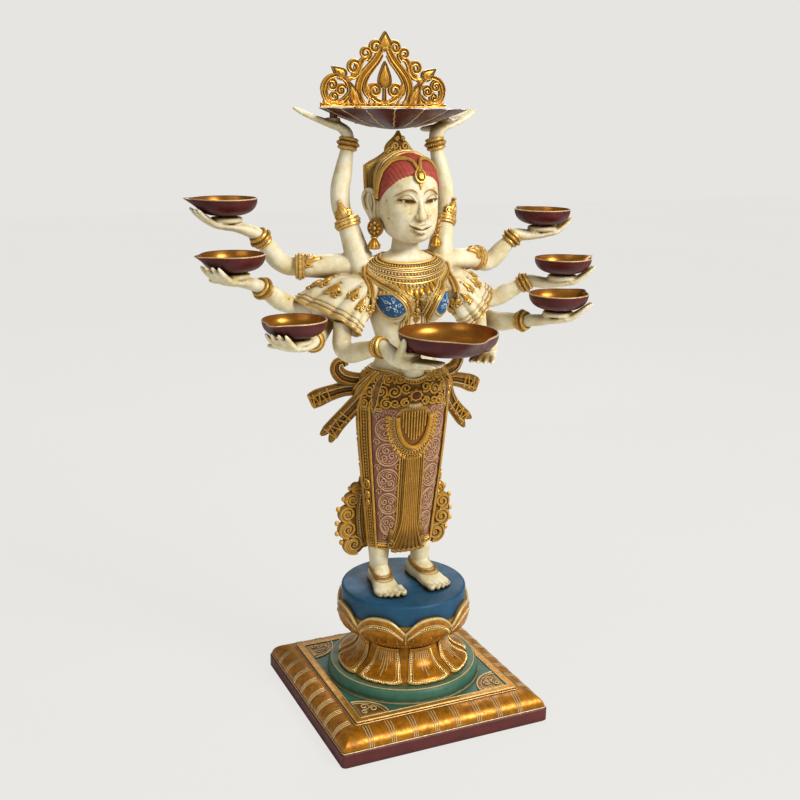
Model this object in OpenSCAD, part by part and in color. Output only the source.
// Standing lamp figure with ten arms: eight oil lamps on a lotus pedestal and a square plinth.
// Millimetres. Z up, the figure faces -Y, the origin is the middle of the plinth's underside.

/* [Plinth] */
// Side of the square slab
plinth_w = 240; // [215:1:270]
// Height of the slab
slab_h = 16; // [10:1:24]
// Height of the rounded moulding on the slab
moulding_h = 15; // [10:1:22]
// Side of the square strip on top of the moulding
strip_w = 190; // [182:1:202]
// Width of that strip
strip_b = 8; // [4:0.5:12]
// Height of the strip above the moulding
strip_h = 3; // [2:0.5:6]
// Depth of the panel inside the strip
panel_drop = 1; // [0.5:0.5:2]
// Thickness of the plinth's cast walls
plinth_wall = 6; // [4:0.5:9]
// Radius of the round step on the panel
step_r = 86; // [81:1:88]
// Height of the round step
step_h = 14; // [8:1:20]

/* [Lotus pedestal] */
// Petals in each row
petal_count = 8; // [6:1:12]
// Radius over the drooping petals
lower_r = 75; // [68:1:79]
// Height of the drooping lotus
lower_h = 31; // [24:1:40]
// Radius of the narrow waist
waist_r = 50; // [42:1:58]
// Height of the beaded waist ring
waist_h = 7; // [5:1:12]
// Radius over the rising petals
upper_r = 76; // [74:1:84]
// Height of the rising lotus up to the disc
upper_h = 30; // [24:1:38]
// Height of the rising petals above the disc's seat
petal_rise = 8; // [4:1:11]
// Thickness of a petal
petal_t = 3; // [2:0.5:5]
// Radius of the disc under the feet
disc_r = 69; // [62:1:69]
// Height of the disc
disc_h = 22; // [18:1:30]

/* [Tie rod] */
// Radius of the rod that holds the stack together
rod_r = 6; // [4:0.5:9]
// Depth of the rod's thread in the disc
rod_bite = 10; // [6:1:12]
// Radius of the washer under the plinth's top
washer_r = 18; // [14:1:26]
// Thickness of the washer
washer_t = 2.5; // [1.5:0.5:4]
// Width of the nut across its corners
nut_d = 22; // [20:1:30]
// Height of the nut
nut_h = 7; // [5:1:10]
// Radial clearance of pegs, rods and tenons in their holes
peg_gap = 0.1; // [0.05:0.05:0.3]

/* [Figure] */
// Height from the disc to the hem
leg_h = 43; // [34:1:56]
// Distance of each ankle from the middle
stance = 25; // [22:1:27]
// Height of the skirt
skirt_h = 204; // [180:1:230]
// Height of the bust from the skirt to the neck
bust_h = 121; // [110:1:135]
// Height of the neck and head
head_h = 97; // [88:1:108]
// Height of the crown above the neck
crown_h = 120; // [112:1:126]
// Half of the width of the crown's leaf
crown_w = 37; // [34:0.5:40]
// Thickness of the crown's leaf
crown_t = 9; // [6:0.5:12]
// Thickness of the side scrolls of the hem
scroll_t = 6; // [4:0.5:10]
// Radius of the earrings' rosettes
rosette_r = 8; // [6:0.5:9]

/* [Arms] */
// Radius of the wrists
wrist_r = 7.5; // [6.5:0.5:9]
// Radius of the forearms
forearm_r = 9.5; // [8:0.5:11]
// Radius of the sleeves at their hems
sleeve_r = 13.5; // [12:0.5:15]
// Half of the width of a palm
palm_w = 13; // [11:0.5:15]
// Half of the thickness of a palm
palm_t = 5; // [4:0.5:6]
// Radius of a finger at its root
finger_r = 3.5; // [2.8:0.1:4.2]
// Reach of the fingertips past the middle of the lamp
finger_reach = 36; // [32:1:40]
// The same past the tray's pin on the raised hands
raised_reach = 44; // [38:1:48]
// Radius of the tenons that hold the arms in the sleeves
tenon_r = 4; // [3:0.5:5.5]
// Length of those tenons
tenon_l = 14; // [10:1:18]
// How far the left high hand stands above the right one, each way from the mean
high_raise = 10; // [0:1:12]
// The same for the middle hands
middle_raise = 10; // [0:1:12]
// The same for the low hands
low_raise = -4; // [-8:1:4]

/* [Hand lamps] */
// Radius of a hand lamp's rim
bowl_r = 31; // [28:0.5:33]
// Depth of a hand lamp
bowl_depth = 17; // [15:0.5:22]
// Thickness of the lamps' walls
bowl_wall = 2; // [1.5:0.25:3]
// Reach of the wick lip past the rim
lip_reach = 11; // [6:0.5:14]
// Radius of a lamp's foot
foot_r = 9; // [7:0.5:12]
// Height of a lamp's foot
foot_h = 4; // [4:0.5:7]
// Gap between a lamp's foot and the palm
foot_gap = 0.3; // [0.2:0.1:0.6]
// Radius of the stud that a hand lamp turns on
stud_r = 2; // [1.5:0.25:3]
// Radial running clearance on that stud
stud_gap = 0.05; // [0.02:0.01:0.1]
// Depth of the studs and pins in the palms
stud_bite = 6; // [4:0.5:7]

/* [Front lamp, tray and crest] */
// Radius of the front lamp's rim
front_r = 49; // [44:0.5:54]
// Depth of the front lamp
front_depth = 22; // [18:0.5:28]
// Reach of the front lamp's wick lip
front_reach = 15; // [10:0.5:20]
// Radius of the fluted tray
tray_r = 80; // [74:1:88]
// Depth of the tray
tray_depth = 21; // [17:0.5:26]
// Thickness of the tray
tray_wall = 3; // [2.5:0.25:4]
// Flutes round the tray
flute_count = 16; // [12:1:20]
// Depth of the flutes as a drop of the radius
flute_drop = 4; // [2:0.5:6]
// Half of the width of the crest
crest_w = 72; // [66:1:74]
// Height of the crest over the tray's rim
crest_h = 77; // [70:1:86]
// Thickness of the crest
crest_t = 5; // [4:0.5:7]
// Width of the crest's scroll bands
band_w = 4.5; // [3.5:0.25:5.5]

/* [Hidden] */
$fn = 64;

// Paint colours
maroon = "#6b2f35";
gold = "#b9822c";
green = "#3f6b56";
blue = "#2f5f82";
ivory = "#e0dac4";
rose = "#96625a";
brass = "#c39a4a";

// Heights of the stack
panel_z = slab_h + moulding_h + strip_h - panel_drop;
step_z = panel_z + step_h;
waist_z = step_z + lower_h;
upper_z = waist_z + waist_h;
seat_z = upper_z + upper_h;
foot_z = seat_z + disc_h;
hem_z = foot_z + leg_h;
belt_z = hem_z + skirt_h;
neck_z = belt_z + bust_h;
shoulder_z = neck_z - 15;
crown_z = neck_z + crown_h;

// Lamp heights below the rim
bowl_drop = bowl_depth + foot_h + foot_gap;
front_sink = 2.5;
front_drop = front_depth - front_sink;
tray_y = 39;
tray_gap = 0.4;
tray_sink = 9.5;
tray_z = crown_z + tray_gap;
rim_z = tray_z + tray_depth;

// Pegs and tenons of the body
peg_r = 4;
peg_l = 14;
leg_tenon_r = 6;
leg_tenon_l = 20;
waist_y = 4;
waist_tenon_r = 12;
waist_tenon_l = 22;
neck_tenon_r = 6;
neck_tenon_l = 16;
pad_r = 7;
boss_r = 5;
palm_sink = 0.5;
pin_bite = 3.5;

// Places of the arms on the figure's left or right: x outwards, y backwards, z from the shoulder line.
// Each arm gives its root, the hem of its sleeve, its elbow, its wrist and the middle of its lamp's rim.
raised_pose = [[44, 16, -4], [55, 28, 42], [62, 37, 63], [50, 40, 118], [63, 46, 0]];
high_pose = [[40, 20, -2], [103, 40, -2], [119, 47, -7], [149, 36, 28], [181, 34, 60]];
middle_pose = [[40, 16, -18], [100, 31, -41], [118, 37, -46], [155, 14, -21], [186, -5, 10]];
low_pose = [[36, 6, -30], [84, 13, -56], [101, -2, -68], [120, -44, -61], [145, -64, -32]];
front_pose = [[42, -2, -18], [77, -13, -58], [79, -15, -86], [57, -72, -70], [40, -98, -52]];
front_y = -98;

// Vector helpers
function unit(v) = v / norm(v);
function mix(a, b, t) = a + (b - a) * t;
function flat(v) = unit([v[0], v[1], 0]);
function raise(p, side, lift) = [p[0], p[1], p[2] + shoulder_z - side * lift];

// A cubic curve from a to d, drawn towards b and c
function curve(a, b, c, d, n) =
  [for (i = [0:n]) let (t = i / n, s = 1 - t)
    s * s * s * a + 3 * s * s * t * b + 3 * s * t * t * c + t * t * t * d];

// Directions along a list of points
function tangents(c) =
  [for (i = [0:len(c) - 1]) unit(c[min(i + 1, len(c) - 1)] - c[max(i - 1, 0)])];

// Side directions carried along the tangents without twist, from the last point to the first
function sides(t, s, i) =
  let (now = unit(s - (s * t[i]) * t[i]))
  i == 0 ? [now] : concat(sides(t, now, i - 1), [now]);

// One ring of n points with half-widths a and b across the direction t
function ring(c, t, s, a, b, n) =
  let (u = cross(t, s)) [for (k = [0:n - 1]) c + a * cos(360 * k / n) * s + b * sin(360 * k / n) * u];

// A level ring of a body: half-width a, half-depth b, middle at y, height z
function level(a, b, y, z, n) =
  [for (k = [0:n - 1]) [a * cos(360 * k / n), y + b * sin(360 * k / n), z]];

// A closed skin over a list of rings
module loft(rings) {
  m = len(rings);
  n = len(rings[0]);
  polyhedron(
    points = [for (r = rings) each r],
    faces = concat(
      [for (j = [0:m - 2], i = [0:n - 1]) [j * n + i, (j + 1) * n + (i + 1) % n, j * n + (i + 1) % n]],
      [for (j = [0:m - 2], i = [0:n - 1]) [j * n + i, (j + 1) * n + i, (j + 1) * n + (i + 1) % n]],
      [[for (i = [0:n - 1]) i]],
      [[for (i = [n - 1:-1:0]) (m - 1) * n + i]]));
}

// A limb through rows of [centre, half-width, half-thickness], its width along side at the last row
module limb(rows, side, n) {
  c = [for (r = rows) r[0]];
  t = tangents(c);
  s = sides(t, side, len(c) - 1);
  loft([for (i = [0:len(c) - 1]) ring(c[i], t[i], s[i], rows[i][1], rows[i][2], n)]);
}

// Stands its children on p, their z along dir
module along(p, dir) {
  translate(p) rotate([0, acos(unit(dir)[2]), atan2(dir[1], dir[0])]) children();
}

module left() {
  mirror([1, 0, 0]) children();
}

// Plinth

// The moulding's outline across the plinth: a quarter round that falls from the strip to the slab
module plinth_outline() {
  top = strip_w / 2 + 2;
  bottom = plinth_w / 2 - 2;
  arc = [for (a = [0:15:90]) [top + (bottom - top) * cos(a), slab_h + moulding_h * sin(a)]];
  polygon(concat([[-bottom, slab_h - 1], [bottom, slab_h - 1]], arc,
    [for (i = [len(arc) - 1:-1:0]) [-arc[i][0], arc[i][1]]]));
}

module plinth_bar() {
  rotate([90, 0, 0]) linear_extrude(plinth_w, center = true) plinth_outline();
}

module plinth() {
  color(maroon) difference() {
    union() {
      translate([-plinth_w / 2, -plinth_w / 2, 0]) cube([plinth_w, plinth_w, slab_h]);
      intersection() {
        plinth_bar();
        rotate(90) plinth_bar();
      }
      translate([-strip_w / 2, -strip_w / 2, slab_h]) cube([strip_w, strip_w, moulding_h + strip_h]);
    }
    panel = strip_w - 2 * strip_b;
    translate([-panel / 2, -panel / 2, panel_z]) cube([panel, panel, strip_h]);
    hollow = strip_w - 2 * plinth_wall;
    translate([-hollow / 2, -hollow / 2, -1]) cube([hollow, hollow, panel_z - plinth_wall + 1]);
    cylinder(r = rod_r + peg_gap, h = panel_z + 1);
  }
}

// Round step and lotus pedestal

module round_step() {
  lip = 3;
  color(green) translate([0, 0, panel_z]) difference() {
    rotate_extrude() polygon(concat([[0, step_h], [0, 0], [step_r, 0], [step_r, lip]],
      [for (a = [0:15:90]) [step_r - 6 + 5 * cos(a), lip + (step_h - lip) * sin(a)]]));
    translate([0, 0, -1]) cylinder(r = rod_r + peg_gap, h = step_h + 2);
  }
}

// A petal as seen from in front: base half-width w, height h, tip in the middle
module petal_face(w, h) {
  half = curve([0.8 * w, 0], [1.2 * w, 0.55 * h], [0.5 * w, 0.9 * h], [0, h], 8);
  polygon(concat(half, [for (i = [len(half) - 2:-1:0]) [-half[i][0], half[i][1]]]));
}

// A rising petal's outline carried outwards through the pedestal
module petal_beam(w, h) {
  rotate([90, 0, 0]) linear_extrude(plinth_w / 2) petal_face(w, h);
}

function petal_half(r) = r * tan(180 / petal_count);

// Outlines of the two lotuses from the foot up: radius and height
function lower_side(out) = curve([lower_r - petal_t + out, 0.12 * lower_h],
  [lower_r - petal_t + out, 0.5 * lower_h], [waist_r + out, 0.45 * lower_h], [waist_r + out, lower_h], 6);
function upper_side(out) = curve([waist_r + out, 0], [upper_r - petal_t + out - 4, 0.1 * upper_h],
  [upper_r - petal_t + out, 0.4 * upper_h], [upper_r - petal_t + out, upper_h], 6);

// The notch between two drooping petals: half-width w at the foot, height h
module petal_notch(w, h) {
  half = curve([w, -1], [0.45 * w, 0.1 * h], [0.15 * w, 0.4 * h], [0, h], 6);
  rotate([90, 0, 0]) linear_extrude(plinth_w / 2)
    polygon(concat(half, [for (i = [len(half) - 2:-1:0]) [-half[i][0], half[i][1]]]));
}

module lower_lotus() {
  color(gold) translate([0, 0, step_z]) difference() {
    rotate_extrude() polygon(concat([[0, lower_h], [0, 0], [lower_r, 0]], lower_side(petal_t)));
    for (i = [0:petal_count - 1]) rotate(360 * (i + 0.5) / petal_count)
      translate([0, 3 * petal_t - lower_r, 0]) petal_notch(0.45 * petal_half(lower_r), 0.7 * lower_h);
    translate([0, 0, -1]) cylinder(r = rod_r + peg_gap, h = lower_h + 2);
  }
}

module waist_ring() {
  color(gold) translate([0, 0, waist_z]) difference() {
    rotate_extrude() {
      translate([0, 0]) square([waist_r - waist_h / 2, waist_h]);
      translate([waist_r - waist_h / 2, waist_h / 2]) circle(d = waist_h);
    }
    translate([0, 0, -1]) cylinder(r = rod_r + peg_gap, h = waist_h + 2);
  }
}

module upper_lotus() {
  top = upper_h + petal_rise;
  color(gold) translate([0, 0, upper_z]) difference() {
    union() {
      rotate_extrude() polygon(concat([[0, upper_h], [0, 0]], upper_side(0)));
      intersection() {
        rotate_extrude() polygon(concat([[disc_r + 1, top], [disc_r + 1, upper_h - 2],
          [waist_r - 2, upper_h - 2], [waist_r - 2, 1]], upper_side(petal_t), [[upper_r - 1, top]]));
        for (i = [0:petal_count - 1]) rotate(360 * i / petal_count) petal_beam(petal_half(upper_r), top);
      }
    }
    translate([0, 0, -1]) cylinder(r = rod_r + peg_gap, h = upper_h + 2);
  }
}

module footing_disc() {
  round_r = 3;
  color(blue) translate([0, 0, seat_z]) difference() {
    rotate_extrude() {
      square([disc_r - round_r, disc_h]);
      square([disc_r, disc_h - round_r]);
      translate([disc_r - round_r, disc_h - round_r]) circle(r = round_r);
    }
    translate([0, 0, -1]) cylinder(r = rod_r, h = rod_bite + 1);
    for (s = [-1, 1]) translate([s * stance, ankle_y, disc_h - peg_l - 0.5])
      cylinder(r = peg_r + peg_gap, h = peg_l + 1);
  }
}

// The rod screws into the disc and is drawn tight by the nut under the plinth
module tie_rod() {
  start = panel_z - plinth_wall - washer_t - nut_h - 3;
  color(brass) translate([0, 0, start]) cylinder(r = rod_r, h = seat_z + rod_bite - start);
}

module tie_washer() {
  color(brass) translate([0, 0, panel_z - plinth_wall - washer_t]) difference() {
    cylinder(r = washer_r, h = washer_t);
    translate([0, 0, -1]) cylinder(r = rod_r + peg_gap, h = washer_t + 2);
  }
}

module tie_nut() {
  color(brass) translate([0, 0, panel_z - plinth_wall - washer_t - nut_h]) difference() {
    cylinder(d = nut_d, h = nut_h, $fn = 6);
    translate([0, 0, -1]) cylinder(r = rod_r, h = nut_h + 2);
  }
}

// Legs

ankle_y = 12;

// A flat-soled slice of a foot: half-width w and height h at y
function sole_slice(y, x, w, h) =
  [for (k = [0:9]) let (a = 20 * k) [x + w * cos(a), y, k == 0 || k == 9 ? 0 : h * pow(sin(a), 0.7)]];

module foot() {
  rows = [[30, -2, 7, 10], [24, -2, 10, 18], [12, -1, 11, 25], [0, 1, 12, 21],
          [-12, 2.5, 14, 13], [-24, 4, 16, 9], [-31, 4, 15, 6]];
  loft([for (r = rows) sole_slice(r[0], r[1], r[2], r[3])]);
  toes = [[-8, -25, 4.6, 14], [-1, -26, 3.8, 13], [5.5, -25, 3.5, 12.5],
          [11.5, -24, 3.2, 11.5], [16.5, -21, 3, 11]];
  for (p = toes) finger([p[0], p[1], p[2] + 0.2], [0, -1, 0], [1, 0, 0], p[3], p[2], -0.3);
}

module leg() {
  shin = [[0.2, 11, 13], [0.36, 10, 11], [0.4, 13, 14], [0.5, 13.5, 14.5], [0.54, 10.5, 11.5],
          [0.8, 11, 12], [1, 12, 13]];
  color(ivory) translate([stance, 0, foot_z]) {
    foot();
    translate([0, ankle_y, 0]) {
      loft([for (r = shin) level(r[1], r[2], 0, r[0] * leg_h, 14)]);
      translate([0, 0, -peg_l]) cylinder(r = peg_r, h = peg_l + 10);
      translate([0, 0, leg_h - 5]) cylinder(r = leg_tenon_r, h = leg_tenon_l + 5);
    }
  }
}

module left_leg() left() leg();
module right_leg() leg();

// Skirt: rows of height share, half-width, half-depth and middle
skirt_rows = [[0, 36, 21, 14], [0.08, 38, 22, 14], [0.22, 41, 24, 13], [0.4, 45, 27.5, 12],
              [0.6, 49, 30.5, 11], [0.74, 51, 32, 10], [0.84, 52, 33, 9], [0.88, 53, 34, 8.5],
              [0.92, 50.5, 32.5, 7.5], [0.96, 45.5, 29.5, 6], [1, 38, 25.5, 4]];

module skirt_form() {
  loft([for (r = skirt_rows) level(r[1], r[2], r[3], hem_z + r[0] * skirt_h, 32)]);
}

// Front of the skirt at a share of its height
function skirt_front(f) = lookup(f, [for (r = skirt_rows) [r[0], r[3] - r[2]]]);

// The pleated front panel fans out from under the chains to the hem and hangs a little below it
pleat_drop = 3;
pleat_top = 0.6;
pleat_count = 7;

// A strip of the panel that runs from half-width a and middle x at the hem to b and y at the top
module pleat(x, a, y, b, h, out) {
  back = 5;
  translate([0, back, 0]) rotate([90, 0, 0]) linear_extrude(back + out)
    polygon([[x - a, 0], [x + a, 0], [y + b, h], [y - b, h]]);
}

module pleats() {
  h = pleat_top * skirt_h + pleat_drop;
  lean = atan2(skirt_front(0) - skirt_front(pleat_top), pleat_top * skirt_h);
  translate([0, skirt_front(0), hem_z - pleat_drop]) rotate([lean, 0, 0]) {
    pleat(0, 19, 0, 7, h, 2);
    for (k = [0:pleat_count - 1]) let (t = k - (pleat_count - 1) / 2)
      pleat(5.2 * t, 1.8, 1.8 * t, 0.7, h - 0.5, 4.5);
  }
}

// A hanging chain across the front of the skirt: half-span w, from the belt down to share low
module swag(w, low, r) {
  top = 0.86;
  rows = [for (a = [-90:15:90]) let (f = mix(top, low, cos(a)), x = w * sin(a))
    [[x, skirt_front(f) + 4 * pow(x / w, 2) - 1, hem_z + f * skirt_h], r, r]];
  limb(rows, [0, 1, 0], 6);
}

module skirt() {
  color(rose) difference() {
    union() {
      skirt_form();
      pleats();
      swag(27, 0.6, 3.5);
      swag(15, 0.72, 2.5);
    }
    for (s = [-1, 1]) translate([s * stance, ankle_y, hem_z - 1])
      cylinder(r = leg_tenon_r + peg_gap, h = leg_tenon_l + 2);
    translate([0, waist_y, belt_z - waist_tenon_l - 1])
      cylinder(r = waist_tenon_r + peg_gap, h = waist_tenon_l + 2);
  }
}

// Curled side edges of the skirt: discs along a bowed line, from the hem up
module scroll_outline() {
  discs = [[50, 0, 13], [57, 18, 11.5], [57.5, 36, 10.5], [52, 52, 9], [46, 64, 7]];
  for (d = discs) translate([d[0], d[1]]) circle(r = d[2]);
  polygon(concat([[28, 4]], [for (d = discs) [d[0], d[1]]], [[28, 66]]));
}

module hem_scroll() {
  scroll_y = 26;
  translate([0, scroll_y + scroll_t / 2, hem_z]) rotate([90, 0, 0]) linear_extrude(scroll_t) difference() {
    scroll_outline();
    for (p = [[50, 0], [57, 18], [57.5, 36]]) translate(p) circle(r = 3);
  }
}

// What lies against the skirt is cut to its surface
module on_skirt() {
  color(gold) difference() {
    children();
    skirt_form();
  }
}

module left_hem_scroll() on_skirt() left() hem_scroll();
module right_hem_scroll() on_skirt() hem_scroll();

// Sash tails at the hips: places from the middle of the belt
module sash() {
  hip_z = hem_z + 0.86 * skirt_h;
  upper = [[[44, 8, 14], 7, 4], [[58, 14, 15], 7.5, 4.5], [[68, 17, 20], 7.5, 4.5], [[71, 18, 28], 6, 4],
           [[66, 18, 33], 4, 3]];
  middle = [[[44, 10, 4], 8, 4], [[62, 17, 4], 7.5, 4.5], [[79, 21, 0], 8.5, 4.5], [[92, 24, -5], 9.5, 4.5],
            [[98, 25, -8], 7, 3]];
  lower = [[[42, 12, -14], 9, 4], [[58, 16, -22], 8.5, 4.5], [[71, 18, -34], 8.5, 4.5],
           [[80, 18, -45], 10.5, 4.5], [[84, 18, -51], 8, 3]];
  translate([0, 0, hip_z]) for (tail = [upper, middle, lower]) limb(tail, [0, 0, 1], 8);
}

module left_sash() on_skirt() left() sash();
module right_sash() on_skirt() sash();

// Torso: rows of height share, half-width, half-depth and middle
torso_rows = [[0, 33, 22, 3], [0.11, 31.5, 21, 1], [0.23, 33, 22, 1], [0.38, 38, 25, 1.5], [0.51, 43, 27, 2],
              [0.65, 47, 27.5, 4], [0.76, 50, 25, 7], [0.86, 50, 22, 10], [0.92, 40, 19, 9],
              [0.965, 24, 16, 7], [1, 16, 14.5, 6]];
neck_y = 6;
breast = [25, -18, 0.575];
breast_r = 17.5;

// The arms of one side: pose, how far its hand is raised, and the sleeve's radius at the hem
arm_poses = [[raised_pose, 0, 11], [high_pose, high_raise, sleeve_r], [middle_pose, middle_raise, sleeve_r],
             [low_pose, low_raise, 12], [front_pose, 0, sleeve_r]];

// Points of an arm: side is -1 on the left and 1 on the right, and raises grow towards the hand
function arm_points(arm, side) =
  let (p = arm[0], up = arm[1])
  [raise(p[0], side, 0), raise(p[1], side, 0), raise(p[2], side, up / 2), raise(p[3], side, up / 2),
   raise(p[4], side, up)];

module sleeve(p, r) {
  out = unit(p[2] - p[1]);
  in = unit(p[1] - p[0]);
  rows = [for (f = [0, 0.35, 0.7, 0.93]) [mix(p[0], p[1] - 3 * out, f), mix(15, r - 1, f)]];
  s = unit(cross(in, [0, 1, 0.3]));
  se = unit(s - (s * out) * out);
  loft(concat([for (q = rows) ring(q[0], in, s, q[1], q[1], 12)],
    [ring(p[1] - 2.5 * out, out, se, r + 1.5, r + 1.5, 12), ring(p[1], out, se, r + 1, r + 1, 12)]));
}

module sleeve_hole(p) {
  along(p[1], p[1] - p[2]) translate([0, 0, -1]) cylinder(r = tenon_r + peg_gap, h = tenon_l + 1.5);
}

module torso() {
  color(ivory) difference() {
    union() {
      loft([for (r = torso_rows) level(r[1], r[2], r[3], belt_z + r[0] * bust_h, 28)]);
      for (s = [-1, 1]) translate([s * breast[0], breast[1], belt_z + breast[2] * bust_h])
        sphere(r = breast_r);
      for (a = arm_poses) {
        sleeve(arm_points(a, 1), a[2]);
        left() sleeve(arm_points(a, -1), a[2]);
      }
      translate([0, waist_y, belt_z - waist_tenon_l]) cylinder(r = waist_tenon_r, h = waist_tenon_l + 20);
    }
    for (a = arm_poses) {
      sleeve_hole(arm_points(a, 1));
      left() sleeve_hole(arm_points(a, -1));
    }
    translate([0, neck_y, neck_z - neck_tenon_l - 0.5])
      cylinder(r = neck_tenon_r + peg_gap, h = neck_tenon_l + 2);
  }
}

// Head: rows of height share, half-width, front and back
head_rows = [[0.1, 8, -21, 0], [0.14, 15, -26.5, 10], [0.2, 20, -29, 18], [0.28, 24.5, -30.5, 24],
             [0.4, 28, -31.5, 30], [0.55, 30, -31.5, 34], [0.7, 30, -30.5, 35], [0.81, 28.5, -26.5, 34],
             [0.9, 23, -18, 29], [0.97, 13, -7, 18], [1, 5, 0, 8]];

// Neck: rows of height share and radius
neck_rows = [[0, 14.5], [0.08, 13], [0.2, 12.3], [0.33, 12]];

crown_y = 23;
// Shares of the head's height: where the crown is widest, and its foot, which stays under the skull's hole in it
crown_mid = 0.62;
crown_foot = 0.4533794;
ear_x = 30;
ear_y = 14;
ear_z = 0.46;
ear_t = 7;
ear_h = 19;

module head_form() {
  loft([for (r = head_rows) level(r[1], (r[3] - r[2]) / 2, (r[3] + r[2]) / 2, neck_z + r[0] * head_h, 24)]);
}

// An ear is a flat oval leaf that narrows to a long lobe
module ear() {
  root = 4;
  translate([ear_x - root, ear_y, neck_z + ear_z * head_h]) rotate([90, 0, 90]) linear_extrude(ear_t + root)
    polygon([for (a = [0:20:340]) [(6.7 + 2.3 * sin(a)) * cos(a) - 3 * (1 - sin(a)), ear_h * sin(a)]]);
}

module head() {
  nose_z = neck_z + 0.47 * head_h;
  color(ivory) union() {
    head_form();
    loft([for (r = neck_rows) level(r[1], r[1], neck_y, neck_z + r[0] * head_h, 20)]);
    translate([0, neck_y, neck_z - neck_tenon_l]) cylinder(r = neck_tenon_r, h = neck_tenon_l + 5);
    limb([[[0, -28, nose_z + 14], 1.5, 2], [[0, -30, nose_z + 5], 2.5, 3], [[0, -31.5, nose_z - 4], 4.5, 4.5],
          [[0, -30, nose_z - 8], 3, 3]], [1, 0, 0], 8);
    ear();
    left() ear();
  }
}

// The crown is a tall leaf behind the hair with a band at its foot
module crown_outline() {
  h = crown_h - crown_mid * head_h;
  w = crown_w;
  half = concat([[0.92 * w, (crown_foot - crown_mid) * head_h], [w, 0], [1.02 * w, 0.42 * h]],
    curve([0.85 * w, 0.49 * h], [0.6 * w, 0.55 * h], [0.42 * w, 0.6 * h], [0.36 * w, 0.66 * h], 4),
    curve([0.38 * w, 0.72 * h], [0.4 * w, 0.84 * h], [0.1 * w, 0.86 * h], [0, h], 8));
  polygon(concat(half, [for (i = [len(half) - 2:-1:0]) [-half[i][0], half[i][1]]]));
}

module crown() {
  color(gold) difference() {
    translate([0, crown_y + crown_t, neck_z + crown_mid * head_h]) rotate([90, 0, 0])
      linear_extrude(crown_t) crown_outline();
    head_form();
    ear();
    left() ear();
  }
}

// An earring is a rosette on the lobe with a bell under it
module earring() {
  lobe_z = neck_z + ear_z * head_h - ear_h + 1;
  color(gold) translate([ear_x + ear_t, ear_y - 9, lobe_z]) union() {
    rotate([0, 90, 0]) cylinder(r = rosette_r, h = 4);
    translate([0.5, 0, -rosette_r - 14]) rotate_extrude()
      polygon([[0, 0], [6, 0], [6.5, 2], [5, 7], [3, 11], [1.5, 16], [0, 16]]);
  }
}

module left_earring() left() earring();
module right_earring() earring();

// Arms and hands

// A finger from p along f, bent upwards by lift over its length
module finger(p, f, side, length, r, lift) {
  rows = [for (k = [0:5]) let (t = k / 5) [p + f * length * t + [0, 0, lift * pow(t, 1.6)],
    r * (1 - 0.35 * t - (k == 5 ? 0.3 : 0)), r * (1 - 0.35 * t - (k == 5 ? 0.3 : 0))]];
  limb(rows, side, 6);
}

// An arm from its sleeve to the fingertips. The palm's seat lies at the point top, tilt is the palm's rise,
// reach is how far the fingertips pass it, and thumb gives the thumb's way out, along and up.
module arm(p, top, tilt, reach, lift, thumb) {
  out = unit(p[2] - p[1]);
  f = flat(top - p[3]);
  go = unit(f + [0, 0, tilt]);
  side = cross([0, 0, 1], f);
  palm = top - [0, 0, palm_t + palm_sink + boss_r * tilt];
  knuckle = palm + go * 12;
  back = unit(p[3] - p[2]);
  elbow = p[2];
  rows = [[p[1], forearm_r, forearm_r], [p[1] + out * 5, forearm_r, forearm_r],
          [mix(elbow, p[1], 0.25) + back, forearm_r + 0.5, forearm_r + 0.5],
          [mix(elbow, p[3], 0.2), forearm_r + 0.5, forearm_r + 0.5],
          [mix(elbow, p[3], 0.5), forearm_r, forearm_r],
          [p[3] - back * 12, wrist_r, wrist_r], [p[3] - back * 11, wrist_r + 2.5, wrist_r + 2.5],
          [p[3] - back * 2, wrist_r + 2, wrist_r + 2], [p[3] - back, wrist_r, wrist_r],
          [mix(p[3], palm - go * 14, 0.7), wrist_r + 1, palm_t + 1.5],
          [palm - go * 8, palm_w - 1, palm_t], [palm, palm_w, palm_t], [knuckle, palm_w, palm_t - 1]];
  limb(rows, side, 10);
  for (k = [-1.5:1:1.5]) finger(knuckle - go * 3 + side * k * palm_w / 2, unit(go + side * 0.05 * k), side,
    reach - 9 - 1.5 * abs(k - 0.5), finger_r, lift);
  finger(palm - go * 10 + side * (palm_w - 5), unit(side * thumb[0] + f * thumb[1] + [0, 0, thumb[2]]),
    f, 26, finger_r + 0.8, 1);
  translate([top[0], top[1], palm[2]]) cylinder(r = pad_r, h = top[2] - palm[2]);
  along(p[1], p[1] - p[2]) translate([0, 0, -8]) cylinder(r = tenon_r, h = tenon_l + 8);
}

// An arm with the blind hole for the stud or pin in its palm
module drilled_arm(p, top, tilt, reach, lift, thumb) {
  color(ivory) difference() {
    arm(p, top, tilt, reach, lift, thumb);
    translate(top - [0, 0, stud_bite]) cylinder(r = stud_r, h = stud_bite + 1);
  }
}

// The seat of a hand lamp, a front pin and a tray pin
function lamp_seat(arm, side) = arm_points(arm, side)[4] - [0, 0, bowl_drop];
front_seat = raise(front_pose[4], 1, 0) - [0, 0, front_drop];
tray_seat = [raised_pose[4][0], raised_pose[4][1], rim_z - tray_sink];

lamp_thumb = [0.8, 0.6, 0];
module lamp_arm(arm, side)
  drilled_arm(arm_points(arm, side), lamp_seat(arm, side), 0.12, finger_reach, 13, lamp_thumb);
module raised_arm()
  drilled_arm(arm_points(arm_poses[0], 1), tray_seat, 0.3, raised_reach, 4, [0.9, 0.3, -0.1]);
module front_arm() drilled_arm(arm_points(arm_poses[4], 1), front_seat, 0, finger_reach, 1, [0.05, 0, 1]);

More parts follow.
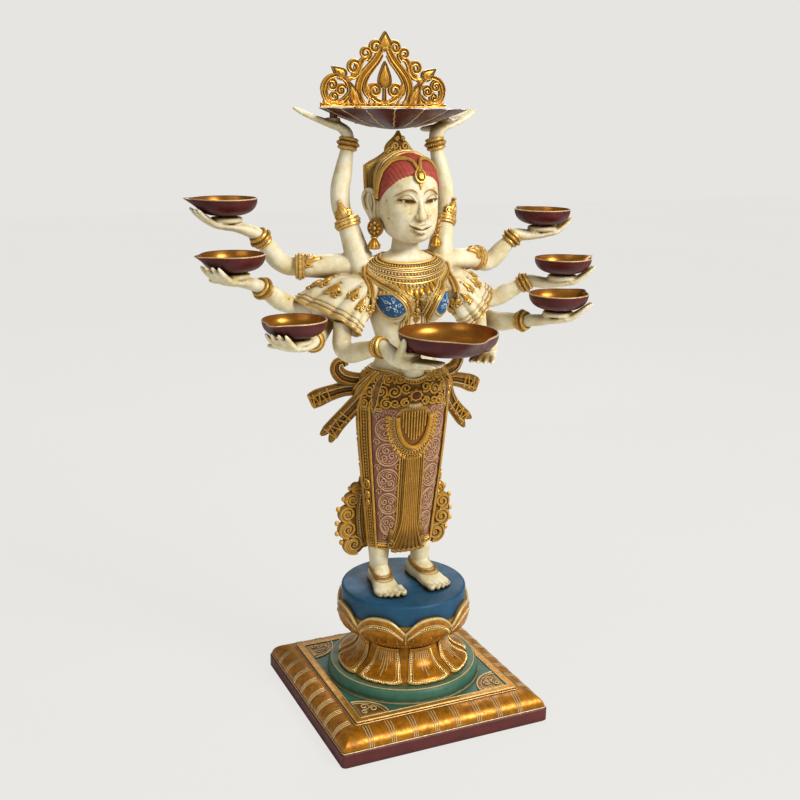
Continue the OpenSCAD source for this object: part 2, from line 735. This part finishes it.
module left_raised_arm() left() raised_arm();
module right_raised_arm() raised_arm();
module left_high_arm() left() lamp_arm(arm_poses[1], -1);
module right_high_arm() lamp_arm(arm_poses[1], 1);
module left_middle_arm() left() lamp_arm(arm_poses[2], -1);
module right_middle_arm() lamp_arm(arm_poses[2], 1);
module left_low_arm() left() lamp_arm(arm_poses[3], -1);
module right_low_arm() lamp_arm(arm_poses[3], 1);
module left_front_arm() left() front_arm();
module right_front_arm() front_arm();

// Lamps

// Half outline of a lamp: radius r, depth d, flat floor
function lamp_side(r, d) = [for (a = [0:15:90]) [r * (0.35 + 0.65 * sin(a)), -d * pow(cos(a), 0.8)]];

// The outside of a lamp with its rim at z = 0 and its wick lip towards +X
lip_r = 2.5;
lip_h = 4;
module lamp_body(r, d, reach) {
  rotate_extrude() polygon(concat([[0, 0], [0, -d]], lamp_side(r, d)));
  hull() {
    translate([r + reach - lip_r, 0, -lip_h]) cylinder(r = lip_r, h = lip_h, $fn = 24);
    for (s = [-1, 1]) translate([0.7 * r, s * 0.62 * r, -0.5 * d]) cylinder(r = 1, h = 0.5 * d, $fn = 24);
  }
}

// The oil space of that lamp with the channel of its lip
module lamp_hollow(r, d, reach) {
  rotate_extrude() polygon(concat([[0, 1], [0, bowl_wall - d]], lamp_side(r - bowl_wall, d - bowl_wall),
    [[r - bowl_wall, 1]]));
  hull() {
    translate([r + reach - lip_r - 1, 0, bowl_wall - lip_h]) cylinder(r = lip_r - 1, h = lip_h + 1, $fn = 24);
    for (s = [-1, 1]) translate([0.66 * r, s * 0.55 * r, bowl_wall - 0.4 * d])
      cylinder(r = 1, h = 0.5 * d, $fn = 24);
  }
}

// A hand lamp turns on its stud: its foot has a blind bore
module hand_bowl(arm, side, turn) {
  color(maroon) translate(arm_points(arm, side)[4]) rotate(turn) difference() {
    union() {
      lamp_body(bowl_r, bowl_depth, lip_reach);
      translate([0, 0, -bowl_depth - foot_h]) cylinder(r = foot_r, h = foot_h + bowl_wall / 2);
    }
    lamp_hollow(bowl_r, bowl_depth, lip_reach);
    translate([0, 0, -bowl_depth - foot_h - 1]) cylinder(r = stud_r + stud_gap, h = foot_h + 1);
  }
}

module stud(arm, side) {
  seat = lamp_seat(arm, side);
  color(brass) translate(seat - [0, 0, stud_bite])
    cylinder(r = stud_r, h = stud_bite + foot_gap + foot_h - 0.5);
}

module left_high_stud() left() stud(arm_poses[1], -1);
module right_high_stud() stud(arm_poses[1], 1);
module left_middle_stud() left() stud(arm_poses[2], -1);
module right_middle_stud() stud(arm_poses[2], 1);
module left_low_stud() left() stud(arm_poses[3], -1);
module right_low_stud() stud(arm_poses[3], 1);

module left_high_bowl() left() hand_bowl(arm_poses[1], -1, 10);
module right_high_bowl() hand_bowl(arm_poses[1], 1, 100);
module left_middle_bowl() left() hand_bowl(arm_poses[2], -1, -15);
module right_middle_bowl() hand_bowl(arm_poses[2], 1, 10);
module left_low_bowl() left() hand_bowl(arm_poses[3], -1, -40);
module right_low_bowl() hand_bowl(arm_poses[3], 1, 20);

// The front lamp stands on two bosses in the front hands
module front_bowl() {
  rim = raise(front_pose[4], 1, 0)[2];
  color(maroon) difference() {
    union() {
      translate([0, front_y, rim]) rotate(-90) lamp_body(front_r, front_depth, front_reach);
      for (s = [-1, 1]) translate([s * front_seat[0], front_seat[1], front_seat[2]])
        cylinder(r = boss_r, h = front_drop / 2);
    }
    translate([0, front_y, rim]) rotate(-90) lamp_hollow(front_r, front_depth, front_reach);
    for (s = [-1, 1]) translate([s * front_seat[0], front_seat[1], front_seat[2] - 1])
      cylinder(r = stud_r, h = pin_bite + 1);
  }
}

module front_bowl_pins() {
  color(brass) for (s = [-1, 1]) translate([s * front_seat[0], front_seat[1], front_seat[2] - stud_bite])
    cylinder(r = stud_r, h = stud_bite + pin_bite);
}

// Tray and crest

// One point of the tray: share of the radius, turn, offset inwards
function tray_point(f, a, drop, inset) =
  let (r = (tray_r - inset) * f - drop * f * (0.5 + 0.5 * cos(flute_count * a)))
  [r * cos(a), r * sin(a), tray_depth * pow(f, 1.7)];

module tray_skin() {
  n = flute_count * 4;
  outer = [0.14, 0.4, 0.65, 0.85, 1];
  inner = [1, 0.85, 0.65, 0.4, 0.14];
  rings = concat(
    [for (f = outer) [for (k = [0:n - 1]) tray_point(f, 360 * k / n, flute_drop, 0)]],
    [for (f = inner) [for (k = [0:n - 1]) tray_point(f, 360 * k / n, flute_drop, tray_wall)
      + [0, 0, f == 1 ? 0 : tray_wall]]]);
  loft(rings);
}

crest_y = 62;
crest_post_x = 30;
crest_post_z = 14;
bore_z = 7;

module top_tray() {
  under = tray_seat[2];
  color(maroon) difference() {
    union() {
      translate([0, tray_y, tray_z]) tray_skin();
      for (s = [-1, 1]) {
        translate([s * tray_seat[0], tray_seat[1], under]) cylinder(r = boss_r - 1, h = 5);
        translate([s * crest_post_x, crest_y, tray_z + bore_z]) cylinder(r = 5, h = crest_post_z - bore_z);
      }
    }
    for (s = [-1, 1]) {
      translate([s * tray_seat[0], tray_seat[1], under - 1]) cylinder(r = stud_r, h = pin_bite + 1);
      translate([s * crest_post_x, crest_y, tray_z]) {
        cylinder(r = screw_r, h = crest_post_z + 1);
        cylinder(r = screw_head_r + peg_gap, h = bore_z);
      }
    }
  }
}

module tray_pins() {
  color(brass) for (s = [-1, 1]) translate([s * tray_seat[0], tray_seat[1], tray_seat[2] - stud_bite])
    cylinder(r = stud_r, h = stud_bite + pin_bite);
}

screw_r = 1.5;
screw_head_r = 3;

module crest_screws() {
  head_l = 1.8;
  color(brass) for (s = [-1, 1]) translate([s * crest_post_x, crest_y, tray_z + bore_z - head_l]) {
    cylinder(r = screw_head_r, h = head_l);
    cylinder(r = screw_r, h = crest_post_z + 5 - bore_z + head_l);
  }
}

// A band of width w along a list of points
function band_edge(p, w, s) =
  let (t = tangents(p)) [for (i = [0:len(p) - 1]) p[i] + s * w / 2 * [-t[i][1], t[i][0]]];
module band(p, w) {
  back = band_edge(p, w, -1);
  polygon(concat(band_edge(p, w, 1), [for (i = [len(back) - 1:-1:0]) back[i]]));
}

// A scroll round c that winds in from radius r, starting at angle a, over turn degrees
function scroll(c, r, a, turn) =
  [for (k = [0:14]) let (t = k / 14) c + r * (1 - 0.62 * t) * [cos(a + turn * t), sin(a + turn * t)]];

// A drop-shaped bud of half-width w and height h standing on p
module bud(p, w, h) {
  half = curve([0, 0], [1.7 * w, 0.15 * h], [0.5 * w, 0.6 * h], [0, h], 8);
  translate(p) polygon(concat(half, [for (i = [len(half) - 2:-1:1]) [-half[i][0], half[i][1]]]));
}

// One half of the crest's openwork
module crest_half() {
  u = crest_w / 72;
  v = crest_h / 77;
  band([for (a = [0:20:360]) [54 * u + 15 * cos(a), 17 * v + 15 * sin(a)]], band_w);
  band(scroll([54 * u, 17 * v], 12, 100, -400), band_w - 1);
  bud([54 * u, 32 * v], 5, 11);
  band(scroll([36 * u, 40 * v], 9, 250, -480), band_w - 1);
  band(curve([36 * u, 31 * v], [26 * u, 30 * v], [30 * u, 48 * v], [20 * u, 50 * v], 8), band_w);
  band(scroll([22 * u, 54 * v], 6, 250, -400), band_w - 1.5);
  band(scroll([11 * u, 59 * v], 8, 200, -420), band_w - 1);
  band(curve([28 * u, 2], [34 * u, 24 * v], [22 * u, 34 * v], [0, 60 * v], 12), band_w);
  band(scroll([12 * u, 20 * v], 8, 300, 460), band_w - 1);
  band(curve([14 * u, 13 * v], [8 * u, 8 * v], [4 * u, 8 * v], [0, 4 * v], 6), band_w - 1);
  bud([21 * u, 24 * v], 3, 14);
  bud([35 * u, 4 * v], 5, 20);
}

module crest_outline() {
  v = crest_h / 77;
  crest_half();
  mirror([1, 0]) crest_half();
  translate([-crest_w - 1, 0]) square([2 * crest_w + 2, 6]);
  bud([0, 57 * v], 6, 20 * v);
  bud([0, 26 * v], 5.5, 26 * v);
  translate([-1.5, 4]) square([3, 24 * v]);
}

module crest() {
  foot = tray_z + crest_post_z;
  color(gold) difference() {
    union() {
      translate([0, crest_y + crest_t / 2, rim_z + 0.5]) rotate([90, 0, 0])
        linear_extrude(crest_t) crest_outline();
      for (s = [-1, 1]) translate([s * crest_post_x, crest_y, foot]) cylinder(r = 4, h = rim_z + 4 - foot);
    }
    for (s = [-1, 1]) translate([s * crest_post_x, crest_y, foot - 1]) cylinder(r = screw_r, h = 6);
  }
}

plinth();
round_step();
lower_lotus();
waist_ring();
upper_lotus();
footing_disc();
tie_rod();
tie_washer();
tie_nut();
left_leg();
right_leg();
skirt();
left_hem_scroll();
right_hem_scroll();
left_sash();
right_sash();
torso();
head();
crown();
left_earring();
right_earring();
left_raised_arm();
right_raised_arm();
left_high_arm();
right_high_arm();
left_middle_arm();
right_middle_arm();
left_low_arm();
right_low_arm();
left_front_arm();
right_front_arm();
left_high_stud();
right_high_stud();
left_middle_stud();
right_middle_stud();
left_low_stud();
right_low_stud();
left_high_bowl();
right_high_bowl();
left_middle_bowl();
right_middle_bowl();
left_low_bowl();
right_low_bowl();
front_bowl();
front_bowl_pins();
top_tray();
tray_pins();
crest();
crest_screws();
